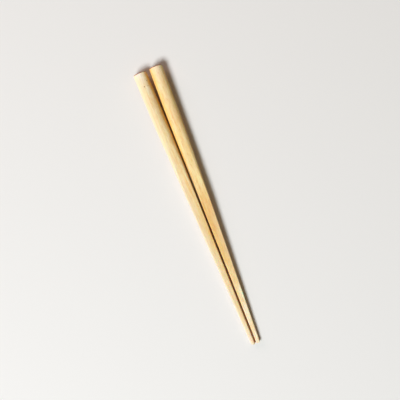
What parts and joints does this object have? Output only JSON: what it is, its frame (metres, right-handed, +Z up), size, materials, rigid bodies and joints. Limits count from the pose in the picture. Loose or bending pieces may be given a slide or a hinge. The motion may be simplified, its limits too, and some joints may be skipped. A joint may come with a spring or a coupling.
{
  "type": "pair of wooden chopsticks",
  "caption": "Plain wooden chopsticks lying side by side, each a round dowel head planed down to a long square taper.",
  "frame": {"origin": "under the middle of the pair's bounding box, on the surface that the sticks lie on", "axes": "+Y along the pair from the tips to the round heads, +X from the left stick to the right stick, +Z up"},
  "size_m": [0.0222, 0.2104, 0.0105],
  "materials": {
    "left_wood": "bare sanded pale wood",
    "right_wood": "bare sanded pale wood"
  },
  "bodies": {
    "root": {"left_chopstick": "left_wood", "right_chopstick": "right_wood"}
  },
  "joints": []
}
